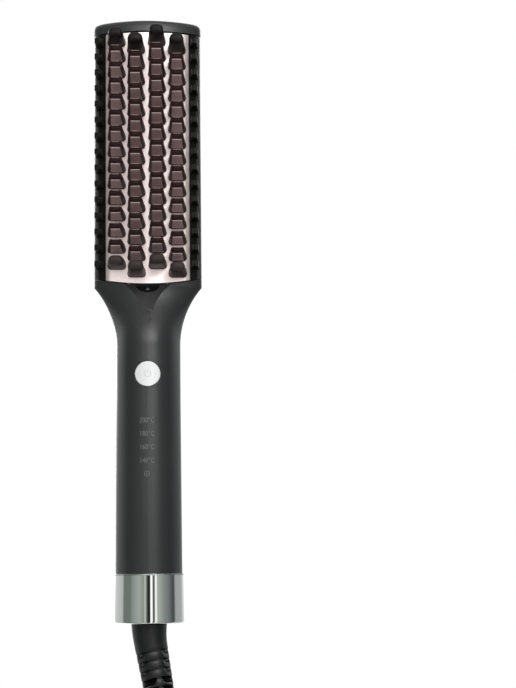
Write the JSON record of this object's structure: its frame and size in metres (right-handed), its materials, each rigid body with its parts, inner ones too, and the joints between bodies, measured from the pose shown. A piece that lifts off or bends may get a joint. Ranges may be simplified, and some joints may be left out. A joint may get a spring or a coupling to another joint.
{
  "type": "hot comb",
  "caption": "Heated styling comb: a soft-touch round handle with a press button and a chrome cuff, and a long head whose warm plate carries capped comb teeth between guard combs.",
  "frame": {"origin": "point on the handle's axis in the middle of the grip, 65 mm above the lower edge of the chrome cuff", "axes": "+Z along the handle towards the head's end cap, the teeth point to -Y, +X to the right when the teeth face the viewer"},
  "size_m": [0.0925, 0.1095, 0.3862],
  "materials": {
    "soft_shell": "soft-touch satin",
    "comb_plastic": "satin",
    "tooth_plastic": "semi-gloss",
    "plate_coating": "smooth ceramic coating",
    "chrome": "polished",
    "button_silver": "satin",
    "chassis_plastic": "glass-filled",
    "steel": "plain",
    "brass": "plain",
    "heater_ceramic": "sintered",
    "board_green": "solder mask",
    "component_black": "moulded",
    "component_yellow": "moulded",
    "light_clear": "translucent",
    "glass_bead": "clear",
    "wire_sleeve": "silicone",
    "boot_rubber": "matt",
    "cord_rubber": "satin",
    "nickel": "nickel plated"
  },
  "bodies": {
    "comb": {"handle_front": "soft_shell", "handle_rear": "soft_shell", "head_cover": "soft_shell", "end_cap": "soft_shell", "head_frame": "chassis_plastic", "side_comb_left": "comb_plastic", "side_comb_right": "comb_plastic", "heating_plate": "plate_coating", "tooth_caps_outer_left": "tooth_plastic", "tooth_caps_inner_left": "tooth_plastic", "tooth_caps_inner_right": "tooth_plastic", "tooth_caps_outer_right": "tooth_plastic", "ceramic_heater": "heater_ceramic", "heater_clamp": "steel", "clamp_screws": "steel", "thermal_fuse": "component_black", "thermistor": "glass_bead", "heat_shield": "steel", "board_screws": "steel", "frame_screws": "steel", "control_board": "board_green", "tact_switch": "component_black", "indicator_leds": "light_clear", "light_guide": "light_clear", "film_capacitor": "component_yellow", "smoothing_capacitor": "component_black", "triac": "component_black", "controller_chip": "component_black", "board_fuse": "component_black", "supply_leads": "wire_sleeve", "heater_leads": "wire_sleeve", "ion_nozzle": "comb_plastic", "ion_needle": "steel", "ion_generator": "component_black", "cuff_sleeve": "chrome", "end_bush": "chassis_plastic", "contact_springs": "brass", "contact_block": "chassis_plastic"},
    "button": {"button": "button_silver", "switch_plunger": "component_black"},
    "swivel": {"swivel_collar": "chassis_plastic", "slip_rings": "brass", "cord_boot": "boot_rubber", "cord_lead": "cord_rubber", "cord_coil": "cord_rubber", "cord_tail": "cord_rubber", "cord_tie": "comb_plastic", "plug_body": "cord_rubber", "plug_pins": "nickel"}
  },
  "joints": [
    {"name": "button_press", "type": "slide", "parent": "comb", "child": "button", "axis": [0, 1, 0], "range_m": [0, 0.0006], "stiffness_N_per_m": 2500, "springref_m": -0.0002},
    {"name": "cord_swivel", "type": "hinge", "parent": "comb", "child": "swivel", "pos_m": [0, 0, -0.065], "axis": [0, 0, 1], "continuous": true}
  ]
}
